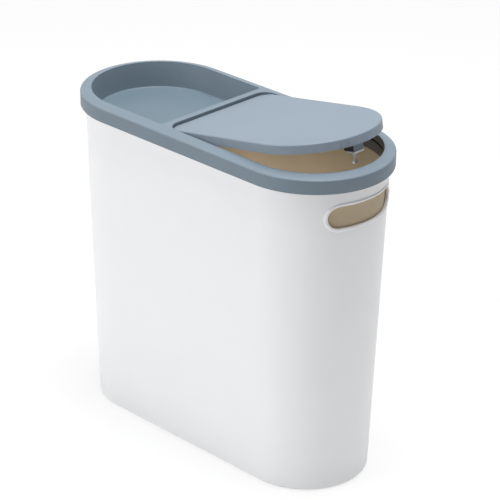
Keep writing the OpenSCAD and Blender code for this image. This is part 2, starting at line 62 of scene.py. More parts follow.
bl_info = {
    "name": "Slim push-top bin",
    "version": (1, 0, 0),
    "blender": (4, 5, 0),
    "location": "View3D > Sidebar > Bin",
    "description": "Builds the shell, liner, frame, lid and latch of a slim push-top bin and lights it",
    "category": "Object",
}

MM = 0.001

# Width of the photograph in pixels, and how far its middle lies off the lens's axis
PICTURE = 500
SHIFT_X = -0.43
SHIFT_Y = 0.36

# Skin of the top frame, rounding of its inner edge, wall round the tray, corners of the well, in mm
SKIN = 2.2
INNER_ROUND = 0.8
TRAY_WALL = 1.7
WELL_CORNER = 12.0

# Heights in mm, taken down from the frame's top
SHELL_DROP = 11.7
BAND_DROP = 6.8
RIB_DROP = 8.4
EDGE_DROP = 1.5
SHELF_DROP = 14
SHELF_LOW_DROP = 16.4
LID_DROP = 0.5

# Gap round the lid, gap behind its back edge, and the hinge's axis from the lid's back and top, in mm
LID_GAP = 0.8
BACK_GAP = 1.4
AXIS_IN = 10.4
AXIS_DROP = 4.7

# Lip at the shell's top, half width of the shelf that carries the latch, in mm
LIP = 2
SHELF_HALF = 9

# A reach in mm that goes past any moulding's side, and the distance at which corners count as doubles
PAST_SIDE = 70
DOUBLES = 0.002

# Steps of 15 degrees through a quarter turn
QUARTER = [math.radians(15 * i) for i in range(7)]

# Share of the floor that camera, gloss and glass see as plain white; the rest keeps the bin's shadow
FLOOR_WHITE = 0.72
WHITE_FOR = ("Is Camera Ray", "Is Glossy Ray", "Is Transmission Ray")


class BinColours(bpy.types.PropertyGroup):
    """Colours of the bin's mouldings and metal pieces, in linear light."""

    shell: bpy.props.FloatVectorProperty(
        name="Shell", description="Glossy white of the outer bin", subtype="COLOR", size=3, min=0, max=1,
        default=(0.84, 0.845, 0.86))
    frame: bpy.props.FloatVectorProperty(
        name="Top frame", description="Slate of the frame, the tray and the divider", subtype="COLOR",
        size=3, min=0, max=1, default=(0.160, 0.209, 0.252))
    # Lighter than the frame's slate: painted sheen for the lid's brighter top
    lid: bpy.props.FloatVectorProperty(
        name="Lid", description="Slate of the lid's shell", subtype="COLOR", size=3, min=0, max=1,
        default=(0.189, 0.237, 0.290))
    liner: bpy.props.FloatVectorProperty(
        name="Liner", description="Tan of the lift-out liner", subtype="COLOR", size=3, min=0, max=1,
        default=(0.48, 0.388, 0.26))
    ring: bpy.props.FloatVectorProperty(
        name="Bag ring", description="Near black of the ring that clamps the bag", subtype="COLOR",
        size=3, min=0, max=1, default=(0.042, 0.039, 0.036))
    latch: bpy.props.FloatVectorProperty(
        name="Latch case", description="Near black of the latch's case", subtype="COLOR", size=3, min=0,
        max=1, default=(0.018, 0.019, 0.021))
    striker: bpy.props.FloatVectorProperty(
        name="Striker", description="Off-white of the striker and the latch's moving parts",
        subtype="COLOR", size=3, min=0, max=1, default=(0.93, 0.93, 0.915))
    steel: bpy.props.FloatVectorProperty(
        name="Steel", description="Steel of the pins, springs and screws", subtype="COLOR", size=3, min=0,
        max=1, default=(0.56, 0.57, 0.59))


class BinSizes(bpy.types.PropertyGroup):
    """Sizes of the bin's mouldings."""

    height: bpy.props.FloatProperty(
        name="Height", description="Height of the top frame above the floor", unit="LENGTH",
        default=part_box("top_frame")[1][2])
    length: bpy.props.FloatProperty(
        name="Length", description="Length of the top frame", unit="LENGTH",
        default=CAD_BOX[1][0] - CAD_BOX[0][0])
    width: bpy.props.FloatProperty(
        name="Width", description="Width of the top frame", unit="LENGTH",
        default=CAD_BOX[1][1] - CAD_BOX[0][1])
    overhang: bpy.props.FloatProperty(
        name="Overhang", description="How far the frame stands out past the shell", unit="LENGTH",
        default=0.0044)
    lean: bpy.props.FloatProperty(
        name="Lean", description="How far the shell leans in from its top to its foot", unit="LENGTH",
        default=0.0089)
    wall: bpy.props.FloatProperty(
        name="Wall", description="Wall of the shell", unit="LENGTH", default=0.002)
    foot_round: bpy.props.FloatProperty(
        name="Foot rounding", description="Rounding of the shell's foot", unit="LENGTH", default=0.003)
    hole_length: bpy.props.FloatProperty(
        name="Hand hole length", description="Length of each hand hole", unit="LENGTH", default=0.074)
    hole_height: bpy.props.FloatProperty(
        name="Hand hole height", description="Height of each hand hole", unit="LENGTH", default=0.0207)
    hole_drop: bpy.props.FloatProperty(
        name="Hand hole drop", description="Middle of the hand holes below the frame's top", unit="LENGTH",
        default=0.0388)
    bead: bpy.props.FloatProperty(
        name="Hand hole bead", description="Radius of the bead round each hand hole", unit="LENGTH",
        default=0.0016)
    rim_side: bpy.props.FloatProperty(
        name="Rim side", description="Height of the frame's outer side", unit="LENGTH", default=0.0122)
    rim_face: bpy.props.FloatProperty(
        name="Rim face", description="Width of the frame's sloping top face", unit="LENGTH", default=0.0098)
    rim_rise: bpy.props.FloatProperty(
        name="Rim rise", description="Rise of the top face from its outer to its inner edge", unit="LENGTH",
        default=0.0027)
    rim_edge: bpy.props.FloatProperty(
        name="Rim edge", description="Rounding of the frame's outer top edge", unit="LENGTH",
        default=0.0015)
    divider: bpy.props.FloatProperty(
        name="Divider", description="Place of the divider's edge beside the tray", unit="LENGTH",
        default=-0.0266)
    divider_width: bpy.props.FloatProperty(
        name="Divider width", description="Width of the divider between tray and lid", unit="LENGTH",
        default=0.0062)
    tray_depth: bpy.props.FloatProperty(
        name="Tray depth", description="Depth of the tray", unit="LENGTH", default=0.023)
    tray_lean: bpy.props.FloatProperty(
        name="Tray lean", description="How far the tray's walls lean in", unit="LENGTH", default=0.0035)
    lid_height: bpy.props.FloatProperty(
        name="Lid height", description="Height of the lid's side", unit="LENGTH", default=0.008)
    lid_edge: bpy.props.FloatProperty(
        name="Lid edge", description="Rounding of the lid's top edge", unit="LENGTH", default=0.0012)
    ajar: bpy.props.FloatProperty(
        name="Ajar", description="Angle at which the lid stands open", subtype="ANGLE",
        default=math.radians(10.2))


class BinStage(bpy.types.PropertyGroup):
    """Camera and light of the picture."""

    azimuth: bpy.props.FloatProperty(
        name="Azimuth", description="Camera's turn round the bin from its long side", subtype="ANGLE",
        default=math.radians(43.88))
    elevation: bpy.props.FloatProperty(
        name="Elevation", description="Camera's height above the horizon", subtype="ANGLE",
        default=math.radians(25.62))
    roll: bpy.props.FloatProperty(
        name="Roll", description="Camera's turn about its own axis", subtype="ANGLE",
        default=math.radians(0.886))
    distance: bpy.props.FloatProperty(
        name="Distance", description="Camera's distance from the point that it looks at",
        subtype="DISTANCE", unit="LENGTH", default=2.1295)
    target: bpy.props.FloatVectorProperty(
        name="Target", description="Point that the camera looks at", subtype="XYZ", unit="LENGTH", size=3,
        default=(-0.0971, 0.12415, 0.0964))
    lens: bpy.props.FloatProperty(
        name="Lens", description="Focal length on a 36 mm sensor", subtype="DISTANCE_CAMERA",
        default=160.553)
    sky: bpy.props.FloatProperty(
        name="Sky", description="Strength of the even light from all round", min=0, default=0.15)
    above: bpy.props.FloatProperty(
        name="Lamp above", description="Power of the large lamp above", subtype="POWER", default=85.0)
    left: bpy.props.FloatProperty(
        name="Left lamp", description="Power of the large lamp on the front left", subtype="POWER",
        default=27.0)
    inside: bpy.props.FloatProperty(
        name="Lamps inside", description="Power, in all, of the two small lamps in the liner's mouth",
        subtype="POWER", default=0.2)


def add_node(tree, kind, place, **sockets):
    """Adds a node at a place on the sheet and sets its plain sockets."""
    node = tree.nodes.new(kind)
    node.location = place
    for name, value in sockets.items():
        node.inputs[name.replace("_", " ")].default_value = value
    return node


def finish_material(name, colour, roughness, grain, depth, tint=0.03, blotch=18, metallic=0.0, coat=0.0,
                    stretch=(1, 1, 1), low=None):
    """Finish with faint blotches in its colour and a fine grain that its bump and roughness follow; where
    low is given, shade is painted into its colour below a height.
    """
    material = bpy.data.materials.new(name)
    material.use_nodes = True
    tree = material.node_tree
    tree.nodes.clear()
    out = add_node(tree, "ShaderNodeOutputMaterial", (900, 0))
    shader = add_node(tree, "ShaderNodeBsdfPrincipled", (600, 0), Metallic=metallic)
    coat_roughness, spread_of_roughness = 0.12, 0.05
    shader.inputs["Coat Weight"].default_value = coat
    shader.inputs["Coat Roughness"].default_value = coat_roughness
    tree.links.new(shader.outputs[0], out.inputs["Surface"])
    place = add_node(tree, "ShaderNodeTexCoord", (-900, 0))
    spread = add_node(tree, "ShaderNodeMapping", (-700, 0), Scale=stretch)
    tree.links.new(place.outputs["Object"], spread.inputs["Vector"])
    patches = add_node(tree, "ShaderNodeTexNoise", (-450, 250), Scale=blotch, Detail=4.0, Roughness=0.55)
    tree.links.new(spread.outputs[0], patches.inputs["Vector"])
    ramp = tree.nodes.new("ShaderNodeValToRGB")
    ramp.location = (-200, 250)
    ramp.color_ramp.elements[0].position = 0.3
    ramp.color_ramp.elements[1].position = 0.7
    ramp.color_ramp.elements[0].color = (*[c * (1 - tint) for c in colour], 1)
    ramp.color_ramp.elements[1].color = (*[min(c * (1 + tint), 1) for c in colour], 1)
    tree.links.new(patches.outputs["Fac"], ramp.inputs["Fac"])
    tree.links.new(ramp.outputs["Color"], shader.inputs["Base Color"])
    # Painted shade: the colour is darkened below a given height
    if low:
        paint_shade_low(tree, place, ramp, shader, *low)
    speck = add_node(tree, "ShaderNodeTexNoise", (-450, -150), Scale=grain, Detail=3.0, Roughness=0.6)
    tree.links.new(spread.outputs[0], speck.inputs["Vector"])
    gloss = add_node(tree, "ShaderNodeMapRange", (-150, -50))
    gloss.inputs["To Min"].default_value = roughness - spread_of_roughness
    gloss.inputs["To Max"].default_value = roughness + spread_of_roughness
    tree.links.new(speck.outputs["Fac"], gloss.inputs["Value"])
    tree.links.new(gloss.outputs[0], shader.inputs["Roughness"])
    bump = add_node(tree, "ShaderNodeBump", (300, -250), Strength=0.6, Distance=depth)
    tree.links.new(speck.outputs["Fac"], bump.inputs["Height"])
    tree.links.new(bump.outputs[0], shader.inputs["Normal"])
    return material


def paint_shade_low(tree, place, ramp, shader, height, fade, colour):
    """Paints shade into a finish below a height, as on the sunken tray's floor, by darkening its colour,
    and fades the painted shade out above it.
    """
    split = add_node(tree, "ShaderNodeSeparateXYZ", (-450, 500))
    tree.links.new(place.outputs["Object"], split.inputs[0])
    share = add_node(tree, "ShaderNodeMapRange", (-200, 500), From_Min=height, From_Max=height + fade)
    tree.links.new(split.outputs["Z"], share.inputs["Value"])
    tone = add_node(tree, "ShaderNodeMix", (0, 500))
    tone.data_type = "RGBA"
    tone.inputs[6].default_value = (*colour, 1)
    tone.inputs[7].default_value = (1, 1, 1, 1)
    tree.links.new(share.outputs[0], tone.inputs[0])
    tint = add_node(tree, "ShaderNodeMix", (250, 400))
    tint.data_type = "RGBA"
    tint.blend_type = "MULTIPLY"
    tint.inputs[0].default_value = 1.0
    tree.links.new(ramp.outputs["Color"], tint.inputs[6])
    tree.links.new(tone.outputs[2], tint.inputs[7])
    tree.links.new(tint.outputs[2], shader.inputs["Base Color"])


def finish(name):
    """Finish that the finishes operator made."""
    return bpy.data.materials[name]


def put_material(obj, material):
    """Gives a piece one material in place of what it had."""
    obj.data.materials.clear()
    obj.data.materials.append(material)


def measure(context):
    """All sizes in mm: those that the panel shows and those that follow from them."""
    shown = context.scene.bin_sizes
    m = types.SimpleNamespace(**{name: getattr(shown, name) / MM for name in BinSizes.__annotations__})
    m.ajar = shown.ajar
    m.rim_r = m.width / 2
    m.end_x = m.length / 2 - m.rim_r
    m.open_r = m.rim_r - m.rim_face
    m.shell_top = m.height - SHELL_DROP
    m.lip_low = m.shell_top - LIP
    m.shell_r = lambda z: m.rim_r - m.overhang - m.lean * (1 - z / m.shell_top)
    m.hole_z = m.height - m.hole_drop
    m.hole_run = (m.hole_length - m.hole_height) / 2
    m.skirt_low = m.height - m.rim_rise - m.rim_side
    m.slope = m.rim_rise / m.rim_face
    m.slope_run = math.hypot(1, m.slope)
    m.flat_r = m.open_r + INNER_ROUND + (INNER_ROUND * (m.slope_run - 1)) / m.slope
    m.face_z = lambda r: m.height - max(r - m.flat_r, 0) * m.slope
    m.skirt_in = m.rim_r - SKIN
    m.band_low = m.height - BAND_DROP
    m.edge_low = m.height - EDGE_DROP
    m.well_x = m.divider + m.divider_width
    m.lid_r = m.open_r - LID_GAP
    m.lid_back = m.well_x + BACK_GAP
    m.lid_tip = m.end_x + m.lid_r
    m.lid_top = m.height - LID_DROP
    m.lid_low = m.lid_top - m.lid_height
    m.lid_corner = WELL_CORNER - LID_GAP
    m.axis_x = m.lid_back + AXIS_IN
    m.axis_z = m.lid_top - AXIS_DROP
    return m


def arc(centre, radius, start, end, steps=6):
    """Points of an arc in a section, from one angle in degrees to another."""
    turns = [math.radians(start + (end - start) * i / steps) for i in range(steps + 1)]
    return [(centre[0] + radius * math.cos(t), centre[1] + radius * math.sin(t)) for t in turns]


def begin(name):
    """Names the primitive that was just added, puts its place in its mesh and opens it for editing."""
    obj = bpy.context.object
    obj.name = obj.data.name = name
    bpy.ops.object.transform_apply(location=True, rotation=True, scale=True)
    bpy.ops.object.mode_set(mode="EDIT")
    return obj


def deselect():
    """Drops every selection, so that an operator acts on one piece alone."""
    if bpy.context.object and bpy.context.object.mode == "EDIT":
        bpy.ops.object.mode_set(mode="OBJECT")
    bpy.ops.object.select_all(action="DESELECT")


def take(obj):
    """Selects one piece alone and makes it the active one."""
    deselect()
    obj.select_set(True)
    bpy.context.view_layer.objects.active = obj


def open_all(obj):
    """Opens a piece for editing with all of its mesh selected."""
    bpy.context.view_layer.objects.active = obj
    bpy.ops.object.mode_set(mode="EDIT")
    bpy.ops.mesh.select_all(action="SELECT")


def leave(obj):
    """Leaves edit mode and drops the piece's selection."""
    bpy.ops.object.mode_set(mode="OBJECT")
    obj.select_set(False)


def pick(obj, test, kind="VERT"):
    """Selects the open piece's corners, edges or faces by their middle, in mm, and their normal or run."""
    bpy.ops.mesh.select_mode(type=kind)
    bpy.ops.mesh.select_all(action="DESELECT")
    mesh = bmesh.from_edit_mesh(obj.data)
    if kind == "VERT":
        for v in mesh.verts:
            v.select = test(v.co / MM, v.normal)
    elif kind == "EDGE":
        for e in mesh.edges:
            e.select = test((e.verts[0].co + e.verts[1].co) / 2 / MM, e.verts[1].co - e.verts[0].co)
    else:
        for f in mesh.faces:
            f.select = test(f.calc_center_median() / MM, f.normal)
    mesh.select_flush_mode()
    bmesh.update_edit_mesh(obj.data)


def close_up(obj, holes=True):
    """Merges doubles, fills what is still open, turns the faces outwards and leaves edit mode."""
    bpy.ops.mesh.select_mode(type="VERT")
    bpy.ops.mesh.select_all(action="SELECT")
    bpy.ops.mesh.remove_doubles(threshold=DOUBLES * MM)
    if holes:
        bpy.ops.mesh.fill_holes(sides=0)
    bpy.ops.mesh.select_all(action="SELECT")
    bpy.ops.mesh.normals_make_consistent(inside=False)
    leave(obj)


def pick_underside(obj):
    """Caps the open form, turns its faces outwards and selects the one that looks down."""
    bpy.ops.mesh.select_mode(type="VERT")
    bpy.ops.mesh.select_all(action="SELECT")
    bpy.ops.mesh.fill_holes(sides=0)
    bpy.ops.mesh.normals_make_consistent(inside=False)
    pick(obj, lambda place, normal: normal.z < -0.9, "FACE")


def racetrack(name, section, half, ring=False, sides=128):
    """Turns a section of (radius, height) into round rings, then parts the two ends by a half length.

    The section is open and gets a cap at each end, or with ring it runs back to its start.
    """
    deselect()
    radius, height = section[0]
    bpy.ops.mesh.primitive_circle_add(vertices=sides, radius=radius * MM, fill_type="NOTHING",
                                      location=(0, 0, height * MM), rotation=(0, 0, math.pi / sides))
    obj = begin(name)
    bpy.ops.mesh.select_all(action="SELECT")
    for next_radius, next_height in section[1:] + (section[:1] if ring else []):
        rise(next_height - height)
        share = next_radius / radius
        bpy.ops.transform.resize(value=(share, share, 1), center_override=(0, 0, next_height * MM))
        radius, height = next_radius, next_height
    for side in (1, -1):
        pick(obj, lambda place, _: place.x * side > 0)
        bpy.ops.transform.translate(value=(side * half * MM, 0, 0))
    close_up(obj, holes=not ring)
    return obj


def tongue(name, back, tip, half, corner, height):
    """Flat outline with a round tip and a straight back with two corners, left open for editing."""
    deselect()
    bpy.ops.mesh.primitive_plane_add(size=1, location=((back + tip) / 2 * MM, 0, height * MM))
    bpy.context.object.scale = (abs(tip - back) * MM, 2 * half * MM, 1)
    obj = begin(name)
    near, nearly_half = 0.01, half * 0.99999
    pick(obj, lambda place, _: abs(place.x - tip) < near)
    bpy.ops.mesh.bevel(affect="VERTICES", offset=nearly_half * MM, segments=48, clamp_overlap=False)
    if corner:
        pick(obj, lambda place, _: abs(place.x - back) < near)
        bpy.ops.mesh.bevel(affect="VERTICES", offset=corner * MM, segments=12, clamp_overlap=False)
    bpy.ops.mesh.select_all(action="SELECT")
    bpy.ops.mesh.remove_doubles(threshold=near * MM)
    bpy.ops.mesh.select_mode(type="FACE")
    bpy.ops.mesh.select_all(action="SELECT")
    return obj


def rise(height):
    """Extrudes what is selected upwards."""
    bpy.ops.mesh.extrude_region_move(TRANSFORM_OT_translate={"value": (0, 0, height * MM)})


def draw_in(run, depth):
    """Insets the selected face and moves it along its normal."""
    bpy.ops.mesh.inset(thickness=run * MM, depth=depth * MM, use_even_offset=True)


def draw_in_along(points):
    """Insets the selected face from point to point of an (inset, depth) path."""
    for (run, depth), (next_run, next_depth) in zip(points, points[1:]):
        draw_in(next_run - run, next_depth - depth)


def brick(name, low, high, round_edges=0.0, segments=3):
    """Block between two corners, with its edges rounded where a rounding is given."""
    deselect()
    bpy.ops.mesh.primitive_cube_add(size=1, location=[(a + b) / 2 * MM for a, b in zip(low, high)])
    bpy.context.object.scale = [(b - a) * MM for a, b in zip(low, high)]
    obj = begin(name)
    if round_edges:
        bpy.ops.mesh.select_all(action="SELECT")
        bpy.ops.mesh.bevel(affect="EDGES", offset=round_edges * MM, segments=segments, clamp_overlap=True)
    close_up(obj)
    return obj


def rod(name, start, length, radius, axis, sides=48):
    """Round bar from a point along X or Y."""
    deselect()
    middle = list(start)
    middle["XY".index(axis)] += length / 2
    turn = (0, math.pi / 2, 0) if axis == "X" else (math.pi / 2, 0, 0)
    bpy.ops.mesh.primitive_cylinder_add(vertices=sides, radius=radius * MM, depth=length * MM,
                                        location=[c * MM for c in middle], rotation=turn)
    obj = begin(name)
    close_up(obj)
    return obj


def modify(obj, kind, **settings):
    """Adds a modifier, sets it and applies it."""
    take(obj)
    modifier = obj.modifiers.new(kind.lower(), kind)
    for name, value in settings.items():
        setattr(modifier, name, value)
    bpy.ops.object.modifier_apply(modifier=modifier.name)
    obj.select_set(False)


def combine(obj, tool, operation):
    """Joins a tool to a piece, or cuts it away, and removes the tool."""
    modify(obj, "BOOLEAN", object=tool, operation=operation, solver="EXACT")
    bpy.data.objects.remove(tool)


def tidy_edges(obj, width, angle=35, segments=3, smooth=32):
    """Rounds the sharp edges, shades the piece smooth and lets its large faces set the normals."""
    if width:
        modify(obj, "BEVEL", width=width * MM, segments=segments, limit_method="ANGLE",
               angle_limit=math.radians(angle), miter_outer="MITER_ARC", harden_normals=False,
               use_clamp_overlap=True)
    take(obj)
    bpy.ops.object.shade_smooth_by_angle(angle=math.radians(smooth))
    modify(obj, "WEIGHTED_NORMAL", keep_sharp=True, weight=80)


def swing(obj, m):
    """Turns a piece that was drawn in the shut lid's place up to where the lid stands."""
    take(obj)
    open_all(obj)
    bpy.ops.transform.rotate(value=m.ajar, orient_axis="Y",
                             center_override=(m.axis_x * MM, 0, m.axis_z * MM))
    leave(obj)


def show(obj, body, material, slot, *nodes):
    """Gives a piece its finish and its body, and names the CAD nodes that it stands for; the slot is not
    used.
    """
    put_material(obj, material)
    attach(obj, body)
    if nodes:
        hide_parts(*nodes)


def other_end(obj):
    """Copy of a piece with its own mesh, turned half round to the far end."""
    take(obj)
    bpy.ops.object.duplicate(linked=False)
    copy = bpy.context.object
    open_all(copy)
    bpy.ops.transform.rotate(value=math.pi, orient_axis="Z", center_override=(0, 0, 0))
    leave(copy)
    return copy


def part_ends(obj, run):
    """Parts a round outline or bar in two halves along Y, which makes it long."""
    for side in (1, -1):
        pick(obj, lambda place, _: place.y * side > 0)
        bpy.ops.transform.translate(value=(0, side * run * MM, 0))


class BIN_OT_shell(bpy.types.Operator):
    """Model the white shell with its hand holes and the bead round each"""

    bl_idname = "bin.shell"
    bl_label = "Shell"

    def execute(self, context):
        m = measure(context)
        inner = lambda z: m.shell_r(z) - m.wall
        lip_r, floor_top, floor_round = m.skirt_in - 0.5, 2.5, 2
        ring_heights = (30, 90, 150, 200, 235, 247, 255, 268, 276)
        section = arc((m.shell_r(0) - m.foot_round, m.foot_round), m.foot_round, -90, -2)
        section += [(m.shell_r(z), z) for z in (*ring_heights, m.lip_low)]
        section += [(lip_r, m.lip_low), (lip_r, m.shell_top), (inner(m.shell_top), m.shell_top)]
        section += [(inner(z), z) for z in (*reversed(ring_heights), floor_top + floor_round)]
        section += [(inner(floor_top) - floor_round, floor_top)]
        shell = racetrack("bin_shell", section, m.end_x, sides=192)
        bead = self.bead(m, shell)
        cutter = self.cutter(m)
        for tool, operation in ((other_end(bead), "UNION"), (bead, "UNION"),
                                (other_end(cutter), "DIFFERENCE"), (cutter, "DIFFERENCE")):
            combine(shell, tool, operation)
        tidy_edges(shell, 0)
        show(shell, "outer_bin", finish("glossy white moulding"), "white_shell", "outer_bin")
        return {"FINISHED"}

    def bead(self, m, shell):
        """Round bead on the outline of the hand hole, laid on the curved shell."""
        outside = m.end_x + m.rim_r + 10
        bead_r = m.hole_height / 2 + m.bead * 0.75
        long_edge = 20
        deselect()
        bpy.ops.mesh.primitive_circle_add(vertices=98, radius=bead_r * MM, fill_type="NOTHING",
                                          location=(outside * MM, 0, m.hole_z * MM),
                                          rotation=(0, math.pi / 2, 0))
        bead = begin("bead")
        part_ends(bead, m.hole_run)
        pick(bead, lambda place, run: run.length > long_edge * MM, "EDGE")
        bpy.ops.mesh.subdivide(number_cuts=30)
        bpy.ops.object.mode_set(mode="OBJECT")
        modify(bead, "SHRINKWRAP", target=shell, wrap_method="PROJECT", use_project_x=True,
               use_negative_direction=True, use_positive_direction=False)
        open_all(bead)
        bpy.ops.transform.translate(value=(-m.bead / 2 * MM, 0, 0))
        take(bead)
        bpy.ops.object.convert(target="CURVE")
        bead.data.bevel_depth = m.bead * MM
        bead.data.bevel_resolution = 4
        bpy.ops.object.convert(target="MESH")
        bpy.ops.object.mode_set(mode="EDIT")
        close_up(bead, holes=False)
        return bead

    def cutter(self, m):
        """Bar with round ends that cuts the hand hole."""
        start, reach = m.end_x + 26, 50
        cutter = rod("cutter", (start, 0, m.hole_z), reach, m.hole_height / 2, "X", sides=66)
        take(cutter)
        open_all(cutter)
        part_ends(cutter, m.hole_run)
        leave(cutter)
        return cutter


class BIN_OT_liner(bpy.types.Operator):
    """Model the tan liner and the dark ring that clamps a bag over it"""

    bl_idname = "bin.liner"
    bl_label = "Liner and ring"

    def execute(self, context):
        m = measure(context)
        wall, gap, narrower = 1.4, 0.3, 0.2
        upper = lambda z: m.shell_r(z) - m.wall - gap
        lower = lambda z: upper(z) - narrower
        flange = m.skirt_in - 0.8
        self.liner(m, upper, lower, wall, flange)
        self.ring(m, lambda z: upper(z) - wall - 0.25, flange)
        return {"FINISHED"}

    def liner(self, m, upper, lower, wall, flange):
        """Pail that steps out at its shoulder and hangs by its flange."""
        top, seat = m.height - 10.2, m.height - 11.4
        shoulder, low, foot = m.shell_top - 7.3, 4, 3
        step, rise_inside = shoulder - 1.4, 0.6
        foot_top = low + foot + wall
        liner = racetrack("liner_pail", [
            (lower(low) - foot, low), (lower(low + foot), low + foot), (lower(step), step),
            (upper(shoulder), shoulder), (upper(seat), seat), (flange, seat), (flange, top),
            (upper(top) - wall, top), (upper(shoulder) - wall, shoulder + rise_inside),
            (lower(step) - wall, step + rise_inside), (lower(foot_top) - wall, foot_top),
            (lower(low) - wall - foot, low + wall)], m.end_x)
        tidy_edges(liner, 0.5)
        show(liner, "liner", finish("tan liner moulding"), "tan_liner", "inner_liner")

    def ring(self, m, outer, flange):
        """Ring with a collar inside the liner and a flange on its edge, notched for the latch."""
        seat, top = m.height - 9.9, m.height - 8.7
        foot, wall = seat - 7.9, 1.2
        notch_x, notch_end, notch_half = m.end_x + 40, m.end_x + 61.7, 10.5
        ring = racetrack("clamp_ring", [
            (outer(foot) - wall, foot), (outer(foot), foot), (outer(seat), seat), (flange, seat),
            (flange, top), (outer(top) - wall, top)], m.end_x, ring=True)
        notch = brick("notch", (notch_x, -notch_half, foot - 1), (notch_end, notch_half, top + 1))
        combine(ring, notch, "DIFFERENCE")
        tidy_edges(ring, 0.25)
        show(ring, "ring", finish("black ring moulding"), "dark_ring", "bag_ring")


class BIN_OT_frame(bpy.types.Operator):
    """Model the slate top frame with its tray, well and latch bracket, and a dark sheet on the well's wall
    that is painted shade
    """

    bl_idname = "bin.frame"
    bl_label = "Top frame"

    def execute(self, context):
        m = measure(context)
        cover = self.cover(m)
        for tool in (self.rib(m), self.tray(m, TRAY_WALL), self.well(m, -SKIN, m.band_low, m.height - 1),
                     self.back_wall(m), *self.lugs(m)):
            combine(cover, tool, "UNION")
        pockets = self.tray(m, 0)
        combine(pockets, self.well(m, 0, m.height - 20, m.height + 3), "UNION")
        combine(cover, pockets, "DIFFERENCE")
        self.bracket(m, cover)
        tidy_edges(cover, INNER_ROUND * 0.8, angle=50, segments=4, smooth=30)
        show(cover, "top", finish("slate moulding"), "slate_frame", "top_frame")
        self.shade_sheet(m)
        return {"FINISHED"}

    def cover(self, m):
        """Skirt and sloping top face as one closed cover."""
        outer = m.rim_r - m.rim_edge
        outer_z = m.face_z(m.rim_r) - m.rim_edge * (m.slope_run - m.slope)
        lean = 90 - math.degrees(math.atan(m.slope))
        foot = [(m.rim_r - 0.5, m.skirt_low), (m.rim_r - 0.15, m.skirt_low + 0.12),
                (m.rim_r, m.skirt_low + 0.5)]
        brow = [(m.flat_r + 0.4, m.face_z(m.flat_r + 0.4)), (m.flat_r, m.height - 0.03),
                (m.flat_r - 0.5, m.height)]
        cover = racetrack("top_frame_shell", foot + arc((outer, outer_z), m.rim_edge, 0, lean) + brow,
                          m.end_x, sides=192)
        hollow = racetrack("hollow", [
            (m.skirt_in, m.skirt_low - 1), (m.skirt_in, m.face_z(m.skirt_in) - SKIN * m.slope_run),
            (m.flat_r, m.height - SKIN)], m.end_x, sides=192)
        combine(cover, hollow, "DIFFERENCE")
        return cover

    def rib(self, m):
        """Rib under the top face that rests on the ring."""
        low, out, thick = m.height - RIB_DROP, m.skirt_in - 1.4, 1.6
        high = m.face_z(out) - 1.2
        return racetrack("rib", [(out - thick, low), (out, low), (out, high), (out - thick, high)],
                         m.end_x, ring=True)

    def back_wall(self, m):
        """Wall of the well beside the divider."""
        thick, half, low = 1.8, 52, m.height - 15
        return brick("back wall", (m.well_x - thick, -half, low), (m.well_x, half, m.height - 1))

    def tray(self, m, grow):
        """The tray's hollow, or its outside when grown: leaning sides, filleted floor, round corners."""
        fillet, corner, floor_wall = 1.4, 2.0, 1.8
        share_at_band = 0.43
        top = m.height + (-1 if grow else 3)
        straight = m.height - INNER_ROUND
        depth = m.tray_depth - INNER_ROUND + (floor_wall if grow else 0)
        back, half = m.divider + grow, m.open_r + grow
        tray = tongue("tray", back, -m.end_x - half, half, 0, straight)
        rise(top - straight)
        pick_underside(tray)
        draw_in_along([(0, 0), (m.tray_lean * share_at_band, straight - m.band_low)]
                      + [(m.tray_lean + fillet * (1 - math.cos(t)), depth - fillet * (1 - math.sin(t)))
                         for t in QUARTER])
        flat, slack, near_back = 1e-7, 0.3, 8
        pick(tray, lambda place, run: abs(run.z) > flat and back - place.x < near_back
             and abs((back - place.x) - (half - abs(place.y))) < slack, "EDGE")
        bpy.ops.mesh.bevel(affect="EDGES", offset=(corner + grow) * MM, segments=5, clamp_overlap=False)
        close_up(tray)
        return tray

    def well(self, m, inset, low, high):
        """Upright form of the lid's well, from one height to another."""
        well = tongue("well", m.well_x + inset, m.end_x + m.open_r - inset, m.open_r - inset,
                      WELL_CORNER - inset, low)
        rise(high - low)
        close_up(well)
        return well

    def lugs(self, m):
        """Two lugs behind the well's wall that hold the hinge pins."""
        half, low = 4, m.height - RIB_DROP
        near, far = m.open_r + 0.5, m.skirt_in - 2
        for side in (1, -1):
            start, end = sorted((side * near, side * far))
            yield brick("lug", (m.axis_x - half, start, low), (m.axis_x + half, end, m.edge_low))

    def bracket(self, m, cover):
        """Strip, shelf and plate that carry the latch under the front of the lid."""
        plate_x, plate_half, plate_thick, plate_low = m.lid_tip - 6.4, 15.2, 2.4, m.height - 51.3
        shelf_low, shelf_top = m.height - SHELF_LOW_DROP, m.height - SHELF_DROP
        shelf_end = m.end_x + m.open_r + 0.6
        plate = brick("plate", (plate_x, -plate_half, plate_low),
                      (plate_x + plate_thick, plate_half, shelf_top), 0.5)
        shelf = brick("shelf", (plate_x, -SHELF_HALF, shelf_low), (shelf_end, SHELF_HALF, shelf_top), 0.4)
        for part in (plate, shelf, self.strip(m)):
            combine(cover, part, "UNION")

    def strip(self, m):
        """Curved strip that runs down from the well's wall to the shelf."""
        outer, low, high = m.open_r + 1.2, m.height - SHELF_LOW_DROP, m.band_low + 1
        strip = racetrack("strip", [(m.open_r, low), (outer, low), (outer, high), (m.open_r, high)],
                          m.end_x, ring=True)
        window = brick("window", (m.end_x + 40, -SHELF_HALF, m.height - 20),
                       (m.end_x + PAST_SIDE, SHELF_HALF, m.height))
        combine(strip, window, "INTERSECT")
        return strip

